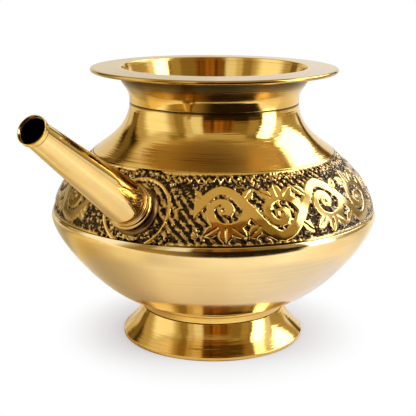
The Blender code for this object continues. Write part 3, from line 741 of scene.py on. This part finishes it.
# %% Node helper
class Wire:
    """One value in a node tree. Operators on it add Math nodes, and node() adds any other node."""

    def __init__(self, tree, socket=None):
        self.tree, self.socket = tree, socket

    def node(self, kind, settings=None, sockets=None, output=0):
        """Adds a node with its settings and with values or links on its sockets, and gives one output."""
        made = self.tree.nodes.new(kind)
        for name, value in (settings or {}).items():
            if name == "stops":
                ramp = made.color_ramp
                while len(ramp.elements) < len(value):
                    ramp.elements.new(1.0)
                for element, (place, colour) in zip(ramp.elements, value):
                    element.position, element.color = place, colour
            else:
                setattr(made, name, value)
        for key, value in (sockets or {}).items():
            if isinstance(value, Wire):
                self.tree.links.new(value.socket, made.inputs[key])
            else:
                made.inputs[key].default_value = value
        return Wire(self.tree, made.outputs[output] if made.outputs else None)

    def sum(self, operation, *values):
        """Adds a Math node."""
        return self.node("ShaderNodeMath", {"operation": operation}, dict(enumerate(values)))

    def __add__(self, other):
        return self.sum("ADD", self, other)

    def __radd__(self, other):
        return self.sum("ADD", other, self)

    def __sub__(self, other):
        return self.sum("SUBTRACT", self, other)

    def __rsub__(self, other):
        return self.sum("SUBTRACT", other, self)

    def __mul__(self, other):
        return self.sum("MULTIPLY", self, other)

    def __rmul__(self, other):
        return self.sum("MULTIPLY", other, self)

    def __truediv__(self, other):
        return self.sum("DIVIDE", self, other)

    def __rtruediv__(self, other):
        return self.sum("DIVIDE", other, self)

    def between(self, low, high):
        """0 at low and below, 1 at high and above, smooth in between."""
        return self.node("ShaderNodeMapRange", {"interpolation_type": "SMOOTHSTEP"},
                         {"Value": self, "From Min": low, "From Max": high})

    def mixed(self, first, second):
        """First colour where this value is 0, second where it is 1."""
        # A Mix node takes colours at its sockets 6 and 7, and gives one at its output 2.
        return self.node("ShaderNodeMix", {"data_type": "RGBA"}, {0: self, 6: first, 7: second}, 2)

    def dot(self, direction):
        """How far this vector reaches along a direction of length 1."""
        return self.node("ShaderNodeVectorMath", {"operation": "DOT_PRODUCT"},
                         {0: self, 1: direction}, "Value")


def noise(wire, place, scale, detail=2.0, roughness=0.5):
    """Clouds from 0 to 1."""
    return wire.node("ShaderNodeTexNoise", None,
                     {"Vector": place, "Scale": scale, "Detail": detail, "Roughness": roughness})


# %% [markdown]
# ## Brass
# Polished brass has one colour, but it is never even: the lathe leaves fine lines round it, fingers and
# polish leave cloudy patches, and the sheet is a little wavy. The lines and the waves go into the normal, the
# clouds into roughness and colour. Where the wheel can't reach, a film or a dark stain is left. Some of the
# darkness is painted shade: part of the brown film under the rim, and the dark bands under the rim, at the
# foot's lower edge, behind the spout's lip and where the collar meets the band. One function makes all these
# finishes, because they differ only in how much of each they show.

# %% Materials and their wires
BRASS = (0.85, 0.56, 0.165)
PALE_BRASS = (0.87, 0.66, 0.34)
RIM_BRASS = (0.70, 0.52, 0.27)
EDGE_BRASS = (0.55, 0.34, 0.095)
SPOUT_BRASS = (0.87, 0.63, 0.27)
COLLAR_BRASS = (0.68, 0.45, 0.16)
FILLER = (0.22, 0.125, 0.045)
# brown of the film at the top of the neck: partly tarnish, partly painted shade under the rim
BROWN_FILM_AND_SHADE = (0.240, 0.148, 0.045)
DULL_FILM = (0.62, 0.54, 0.38)
# colour of the dark bands: the shoulder seam's grime, and painted shade on the neck, the foot, the spout and
# the collar
GRIME_AND_SHADE = (0.075, 0.045, 0.020)
PIT = (0.16, 0.08, 0.02)


def surface(name):
    """A new material with its shader, and the wires that every finish starts from."""
    material = bpy.data.materials.new(name)
    material.use_nodes = True
    tree = material.node_tree
    wire = Wire(tree)
    place = wire.node("ShaderNodeTexCoord", output="Object")
    along = wire.node("ShaderNodeAttribute", {"attribute_name": "along"}, output="Fac")
    return material, tree.nodes["Principled BSDF"], wire, place, along


def feed(shader, **inputs):
    """Links wires to the shader's sockets, or sets plain numbers on them."""
    for name, value in inputs.items():
        socket = shader.inputs[name.replace("_", " ")]
        if isinstance(value, Wire):
            value.tree.links.new(value.socket, socket)
        else:
            socket.default_value = value


# %% A turned brass finish
LINES_ROUND, LINES_ALONG = 30.0, 1700.0
BROAD_ROUND, BROAD_ALONG = 14.0, 520.0
LIP_FROM, LIP_TO = 0.0022, 0.0017
EDGE_SOFT = 0.0003


def brass(name, colour, roughness, lines, waves, turning=0.0, film_and_shade=None, grime_and_shade=None, edge=None, pits=0.0):
    """A turned brass finish. Lines and waves are the depths of lathe marks and of dents, in metres. The other
    places are distances along the outline: for a film, two between which it sets in, and its colour, for a
    dark band, two more, and for a bright edge, its two ends. The film is partly painted shade on the neck,
    and the dark band is painted shade on every piece but the shoulder, where it is the seam's own grime. An
    outline with such an edge starts inside the mouth, so its first two millimetres are polished too."""
    material, shader, wire, place, along = surface(name)
    place_x, place_y = (wire.node("ShaderNodeSeparateXYZ", None, {0: place}, axis) for axis in ("X", "Y"))
    marks = wire.node("ShaderNodeCombineXYZ", None, {
        "X": place_x * LINES_ROUND, "Y": place_y * LINES_ROUND, "Z": along * LINES_ALONG})
    broad = wire.node("ShaderNodeCombineXYZ", None, {
        "X": place_x * BROAD_ROUND, "Y": place_y * BROAD_ROUND, "Z": along * BROAD_ALONG})
    fine_lines = noise(wire, marks, 1.0, 2.0, 0.6)
    broad_lines = noise(wire, broad, 1.0, 3.0, 0.6)
    cloud = noise(wire, place, 38.0, 4.0, 0.6)
    dents = noise(wire, place, 60.0, 2.0)
    tint = (cloud * 0.5 + fine_lines * 0.5).between(0.35, 0.65)
    base = tint.mixed((*(c * 0.88 for c in colour), 1.0), (*colour, 1.0))
    rough = roughness + (cloud - 0.5) * 0.05 + (broad_lines - 0.5) * 0.05
    lift = fine_lines * (lines * 0.35) + broad_lines * lines + dents * waves
    if pits:
        holes = noise(wire, place, 900.0, 1.0).between(0.72, 0.78) * pits
        base, lift = (holes * 0.6).mixed(base, (*PIT, 1.0)), lift - holes * 0.00001
    if edge:
        strip = along.between(edge[0] - EDGE_SOFT, edge[0]) * along.between(edge[1] + EDGE_SOFT, edge[1])
        base = strip.mixed(base, (*EDGE_BRASS, 1.0))
        base = along.between(LIP_FROM, LIP_TO).mixed(base, (*BRASS, 1.0))
        rough = rough - strip * 0.07 + along.between(edge[1], edge[1] + 0.0006) * 0.20
    # A film sets in between two places along the outline: a real dull film on the rim's underside, and on the
    # neck a brown film that is partly tarnish and partly painted shade under the rim.
    if film_and_shade:
        stain_and_shade = (along + (broad_lines - 0.5) * 0.0050 + (cloud - 0.5) * 0.002).between(*film_and_shade[:2])
        base = (stain_and_shade * 0.88).mixed(base, (*film_and_shade[2], 1.0))
        rough = rough + stain_and_shade * 0.12
    # A dark band between two places along the outline: the seam's own grime on the shoulder, and painted
    # shade under the rim on the neck, at the foot's lower edge, behind the spout's lip and where the collar
    # meets the band.
    if grime_and_shade:
        streaks = 0.6 * abs(grime_and_shade[1] - grime_and_shade[0])
        stain_and_shade = (along + (broad_lines - 0.5) * streaks + (cloud - 0.5) * 0.0006).between(*grime_and_shade)
        base = (stain_and_shade * 0.92).mixed(base, (*GRIME_AND_SHADE, 1.0))
        rough = rough + stain_and_shade * 0.10
    bump = wire.node("ShaderNodeBump", None, {"Strength": 1.0, "Distance": 1.0, "Height": lift})
    feed(shader, Base_Color=base, Roughness=rough, Normal=bump, Metallic=1.0, Anisotropic=turning,
         Anisotropic_Rotation=0.25)
    return material


# %% Finishes of the turned pieces
polished = brass("polished_brass", BRASS, 0.10, 0.000020, 0.00006, 0.3)
# The dark band at the top of the shoulder is the seam's own dark line.
turned = brass("turned_brass", BRASS, 0.10, 0.000080, 0.00006, 0.5, grime_and_shade=(0.0011, 0.0004))
# On the neck the brown film is partly tarnish and partly painted shade under the rim, and the dark band at
# its top is painted shade under the rim.
neck_brass = brass("neck_brass", BRASS, 0.11, 0.000070, 0.00005, 0.5,
                   film_and_shade=(0.0105, 0.0040, BROWN_FILM_AND_SHADE), grime_and_shade=(0.0070, 0.0022))
rim_brass = brass("rim_brass", RIM_BRASS, 0.18, 0.000006, 0.00004, 0.3,
                  film_and_shade=(0.0152, 0.0176, DULL_FILM), edge=(0.0124, 0.0147))
# The dark band at the foot's lower edge is painted shade where the foot meets the paper.
foot_brass = brass("foot_brass", BRASS, 0.11, 0.000075, 0.00006, 0.5, grime_and_shade=(0.0199, 0.0206))
satin = brass("satin_brass", PALE_BRASS, 0.13, 0.000006, 0.00004, 0.4)
# The dark band just behind the spout's lip is painted shade in the step under the lip.
spout_brass = brass("spout_brass", SPOUT_BRASS, 0.06, 0.000002, 0.00002, grime_and_shade=(0.0021, 0.0015))
# The dark band where the collar meets the band is painted shade.
collar_brass = brass("collar_brass", COLLAR_BRASS, 0.11, 0.000010, 0.00030, grime_and_shade=(0.0066, 0.0100))
filler = brass("brazing_filler", FILLER, 0.34, 0.0, 0.00030, pits=1.0)
for pieces, finish in (
    ((foot_collar_piece, lip_piece), polished),
    ((flare_piece,), foot_brass),
    ((collar_piece,), collar_brass),
    ((shoulder_piece,), turned),
    ((neck_piece,), neck_brass),
    ((rim_piece,), rim_brass),
    ((bowl_piece,), satin),
    ((tube_piece,), spout_brass),
    ((*filler_pieces, fillet_piece), filler),
):
    for piece in pieces:
        piece.data.materials.append(finish)
    print(finish.name, "on", len(pieces), "pieces")

# %% [markdown]
# ## Chased brass
# On the band the polishing wheel only reaches what stands up. Everything below keeps a dark brown skin. Two
# materials could be given to the faces by height, but the line between them would be hard. Here the depth
# that the grid remembers says how much of each there is, and a fine grain frays the line between the two. On
# the left side of the band less of its gold shows, which is painted shade, and on the right side the gold is
# greyed, which is a painted sheen of the hot panes.

# %% Chased finish
SKIN = ((0.012, 0.0065, 0.0025, 1), (0.075, 0.042, 0.016, 1))
WORN = ((0.52, 0.315, 0.10, 1), (0.87, 0.60, 0.22, 1))
BRIGHT = ((0.78, 0.50, 0.145, 1), (*BRASS, 1))
# grey golds of the painted sheen on the right side of the band
GREY_SHEEN_LOW, GREY_SHEEN_HIGH = (0.33, 0.29, 0.23, 1), (0.46, 0.36, 0.20, 1)
chased_brass, shader, wire, place, _ = surface("chased_brass")
relief_here = wire.node("ShaderNodeAttribute", {"attribute_name": "relief"}, output="Fac")
stands_here = wire.node("ShaderNodeAttribute", {"attribute_name": "stands"}, output="Fac")
sideways = place.dot(image_right) - pot_x * image_right.x
# Painted shade: less gold shows on the left side of the band.
left_shade = sideways.between(-0.034, -0.054)
# Painted sheen: the gold on the right side of the band is greyed, for the hot panes' white glints.
right_sheen = sideways.between(0.022, 0.050)
frayed = relief_here + (noise(wire, place, 2400.0, 2.0) - 0.5) * 0.5
# The gold share is lowered by the painted shade at the left and the painted sheen at the right.
gilded = frayed.between(0.38, 0.56) * (1 - left_shade * 0.5) * (1 - right_sheen * 0.2)
flat = stands_here.between(0.55, 0.85)
cloud = noise(wire, place, 60.0, 4.0, 0.6)
skin = noise(wire, place, 700.0, 2.0).between(0.3, 0.7).mixed(*SKIN)
worn = noise(wire, place, 500.0, 2.0).between(0.3, 0.7).mixed(*WORN)
bright = cloud.between(0.35, 0.65).mixed(*BRIGHT)
# On the right side both golds turn grey: painted sheen.
low_gold = (right_sheen * 0.85).mixed(worn, GREY_SHEEN_LOW)
high_gold = (right_sheen * 0.6).mixed(bright, GREY_SHEEN_HIGH)
punch = noise(wire, place, 1500.0, 1.0)
lift = punch * (1 - stands_here) * 0.00010 + cloud * 0.00006
bump = wire.node("ShaderNodeBump", None, {"Strength": 1.0, "Distance": 1.0, "Height": lift})
feed(shader, Base_Color=gilded.mixed(skin, flat.mixed(low_gold, high_gold)), Metallic=0.8 + gilded * 0.2,
     Roughness=0.42 - gilded * 0.14 - flat * 0.15 + (cloud - 0.5) * 0.06, Normal=bump)
for piece in (band_piece, wall_piece):
    piece.data.materials.append(chased_brass)
print(chased_brass.name, "made of", len(chased_brass.node_tree.nodes), "nodes")

# %% [markdown]
# ## The room in the metal
# A mirror shows its surroundings, so the studio is drawn with care: a large soft box at the left, two hot
# panes at the right, white paper behind, a pale ceiling and a dark room in front. Lamps could do this, but a
# world drawn by direction gives soft panes of any shape without noise. Light is a single number here. Weaker
# green and blue where there is little of it make the dark room brown and leave the bright panes white.

# %% Studio
world = bpy.data.worlds.new("studio")
world.use_nodes = True
bpy.context.scene.world = world
sky = Wire(world.node_tree)
way = sky.node("ShaderNodeTexCoord", output="Generated")
ahead, aside, upward = (way.dot(axis) for axis in (towards_camera, image_right, Vector((0, 0, 1))))
bearing = sky.sum("ARCTAN2", aside, ahead) * math.degrees(1)
height = sky.sum("ARCSINE", upward) * math.degrees(1)


def within(value, low, high, soft):
    """1 between two limits and 0 outside them, with soft edges."""
    return value.between(low - soft, low + soft) * (1 - value.between(high - soft, high + soft))


# %% Panes of the studio
DARK_ROOM = 0.020
PANES = (
    # name, light, from and to bearing, softness, from and to height, softness, lean
    ("ceiling", 0.62, -190, 190, 1, 52, 99, 7, 0),
    ("front ceiling", 0.60, -32, 52, 3, 43, 60, 3, 0),
    ("right wall", 0.27, 24, 47, 3, 16, 42, 4, 0),
    ("right corner", 0.42, 47, 63, 3, 10, 49, 5, 0),
    ("paper at the right", 0.95, 150, 200, 4, -95, 46, 6, 0),
    ("paper at the left", 0.87, -200, -146, 4, -95, 46, 6, 0),
    ("left wash", 0.55, -121, -52, 4, -95, 48, 5, 0),
    ("left soft box", 1.30, -102, -64, 8, -95, 39, 6, 0),
    ("left ceiling", 0.82, -136, -74, 6, 40, 56, 5, 0),
    ("gap", 0.35, -52, -41, 2, -95, 46, 5, 0),
    ("strip", 0.74, -41, -15, 2, 2, 49, 3, 0),
    ("strip middle", 1.00, -31, -17, 2, 3, 47, 3, 0),
    ("strip top", 0.80, -46, -31, 3, 42, 57, 3, 0),
    ("strip below", 0.30, -62, -14, 14, -95, 0, 6, 0),
    ("right side", 0.50, 88, 152, 4, -95, 26, 6, 0),
    ("right shelf", 0.33, 108, 126, 3, -8, 4, 2, 0),
    ("right lamp", 1.00, 134, 148, 3, 1, 10, 2, 0),
    ("hot pane", 5.50, 68, 89, 2, -8, 47, 3, 0),
    ("below the hot pane", 1.30, 64, 96, 3, -60, -8, 3, 0),
    ("frame", 1.00, 90, 101, 2, 8, 47, 5, 0),
    ("second hot pane", 5.50, 104, 146, 2, 21, 48, 3, 0),
    ("right edge", 0.12, 140, 149, 2, -14, 40, 4, -0.5),
    ("left lamp", 0.80, -146, -133, 3, -10, 13, 4, 0),
    ("dark stand", 0.22, -128, -116, 2, -8, 36, 4, 0.5),
)
light = DARK_ROOM
for _, value, from_bearing, to_bearing, edge, low, high, fade, lean in PANES:
    pane = within(bearing + height * lean, from_bearing, to_bearing, edge) * within(height, low, high, fade)
    light = light + pane * (value - light)
dim, strong = sky.sum("MINIMUM", light, 1.0), sky.sum("MAXIMUM", light, 1.0)
room = sky.node("ShaderNodeCombineColor", None, {
    "Red": light,
    "Green": dim * (0.60 + 0.40 * dim) * strong,
    "Blue": dim * (0.20 + 0.80 * dim * dim) * strong,
})
print("studio of", len(PANES), "panes")

# %% Curtain and background
CURTAIN = ((0.08, 0.034, 0.009, 1), (0.44, 0.18, 0.030, 1))
TABLE = (0.50, 0.30, 0.065, 1)
folds = sky.node("ShaderNodeTexNoise", {"noise_dimensions": "1D"},
                 {"W": bearing, "Scale": 0.16, "Detail": 2.0})
curtain = within(bearing, -13, 27, 2) * within(height, 12, 43, 3)
table = within(bearing, -54, -32, 8) * within(height, -50, -12, 6)
room = curtain.mixed(room, folds.between(0.3, 0.7).mixed(*CURTAIN))
room = table.mixed(room, TABLE)
seen = sky.node("ShaderNodeLightPath", output="Is Camera Ray")
background = world.node_tree.nodes["Background"]
world.node_tree.links.new(seen.mixed(room, (1, 1, 1, 1)).socket, background.inputs["Color"])
print("world of", len(world.node_tree.nodes), "nodes, white where the camera sees it")

# %% [markdown]
# ## The paper it stands on
# The pot stands on white paper that ends a little way in front of it: the dark line round the belly is the
# room beyond that edge. A plain white plane would be simpler, but would hide that room. So the camera sees
# paper everywhere, with the pot's shadow on it, and the metal sees the paper end and looks past it.

# %% Sheet of paper
PAPER_EDGE = 0.120
PAPER_SLANT = 0.18
floor_mesh = bpy.data.meshes.new("paper_floor")
floor_mesh.from_pydata([(-3, -3, 0), (3, -3, 0), (3, 3, 0), (-3, 3, 0)], [], [(0, 1, 2, 3)])
floor = bpy.data.objects.new("paper_floor", floor_mesh)
bpy.context.scene.collection.objects.link(floor)
paper = bpy.data.materials.new("paper")
paper.use_nodes = True
paper.node_tree.nodes.clear()
floor_mesh.materials.append(paper)
wire = Wire(paper.node_tree)
spot = wire.node("ShaderNodeTexCoord", output="Object")
pot_foot = Vector((pot_x, 0, 0))
forward = spot.dot(towards_camera) - pot_foot.dot(towards_camera)
rightward = spot.dot(image_right) - pot_foot.dot(image_right)
distance = wire.sum("SQRT", forward * forward + rightward * rightward)
reach = forward + wire.sum("MAXIMUM", rightward, 0.0) * PAPER_SLANT
sheet = reach.between(PAPER_EDGE + 0.001, PAPER_EDGE - 0.001)
print("paper ends", round(PAPER_EDGE * 1000), "mm in front of the pot's axis")

# %% Shadow that the camera sees
SHADOW_REACH = 0.031
SHADOW_DEPTH = 0.75
SHADOW_FALL = 1.7
SHADOW_COLOUR = (0.12, 0.03, 0.0, 1)
open_sky = wire.node("ShaderNodeAmbientOcclusion", {"samples": 16}, {"Distance": SHADOW_REACH}, "AO")
denser = 1 + rightward.between(0.0, -0.040) * 0.35 - forward.between(0.020, 0.045) * 0.35
shade = wire.sum("POWER", 1 - open_sky, SHADOW_FALL) * denser * SHADOW_DEPTH
glow = wire.node("ShaderNodeEmission", None, {"Color": shade.mixed((1, 1, 1, 1), SHADOW_COLOUR)})
print("shadow reaches", round(SHADOW_REACH * 1000), "mm from what casts it")

# %% [markdown]
# ## The paper in the metal
# The bowl mirrors the paper all round the pot, and the light on it isn't even: the soft box warms one side,
# the hot panes whiten the other, and a corner behind the spout lies in the dark. Lamps that do this would
# also change the shadow, so the paper's own colour does it, for what the metal sees alone.

# %% Light on the paper
PAPER_IN_METAL = 1.25
CLOSE_LIGHT = (
    # side of the pot, from 0 at the left to 1 at the right, then light and its shares of green and blue
    (0.00, 0.80, 1.00, 1.00), (0.08, 0.90, 1.00, 1.00), (0.24, 1.30, 1.04, 1.08), (0.35, 1.18, 1.04, 1.10),
    (0.54, 0.96, 1.05, 1.14), (0.70, 0.90, 1.07, 1.20), (1.00, 0.74, 1.12, 1.55),
)
APART_LIGHT = (
    (0.00, 0.84, 0.86, 0.46), (0.03, 0.98, 0.93, 0.70), (0.09, 1.20, 1.00, 0.85), (0.16, 1.20, 1.00, 0.85),
    (0.23, 0.95, 1.02, 1.02), (0.42, 1.07, 1.04, 1.06), (0.62, 1.00, 1.04, 1.10), (0.84, 1.14, 1.06, 1.15),
    (1.00, 0.93, 1.00, 0.98),
)
BEHIND = (0.30, 0.27, 0.26, 1)
DARK_CORNER = (0.14, 0.09, 0.05, 1)
side_of_pot = rightward / wire.sum("MAXIMUM", distance, 0.001) * 0.5 + 0.5


def lit(stops):
    """Colour of the paper by the side of the pot that it lies on."""
    colours = []
    for stop, level, green, blue in stops:
        red, green, blue = (PAPER_IN_METAL * level * share for share in (1, green, blue))
        colours.append((stop, (red, green, blue, 1)))
    return wire.node("ShaderNodeValToRGB", {"stops": colours}, {"Fac": side_of_pot})


far = distance.between(0.22, 0.36)
corner = rightward.between(-0.060, -0.095) * forward.between(-0.015, -0.060) * (1 - far * 0.6)
fill = distance.between(0.070, 0.090).mixed(lit(CLOSE_LIGHT), lit(APART_LIGHT))
# Painted shade: the paper behind the pot is greyer in the metal.
fill = (forward.between(0.0, -0.060) * 0.30).mixed(fill, BEHIND)
fill = (corner * 0.52).mixed(fill, DARK_CORNER)
print("light on the paper has", len(CLOSE_LIGHT) + len(APART_LIGHT), "stops")

# %% Paper finish
from_metal = wire.node("ShaderNodeLightPath", output="Is Glossy Ray")
to_camera = wire.node("ShaderNodeLightPath", output="Is Camera Ray")
white = wire.node("ShaderNodeBsdfPrincipled", None, {
    "Base Color": from_metal.mixed((0.8, 0.8, 0.8, 1), fill), "Roughness": 1.0, "Specular IOR Level": 0.0})
clear = wire.node("ShaderNodeBsdfTransparent")
real = wire.node("ShaderNodeMixShader", None, {0: sheet, 1: clear, 2: white})
shown = wire.node("ShaderNodeMixShader", None, {0: to_camera, 1: real, 2: glow})
wire.node("ShaderNodeOutputMaterial", None, {"Surface": shown})
bpy.context.scene.view_settings.view_transform = "Standard"
print("paper made of", len(paper.node_tree.nodes), "nodes")
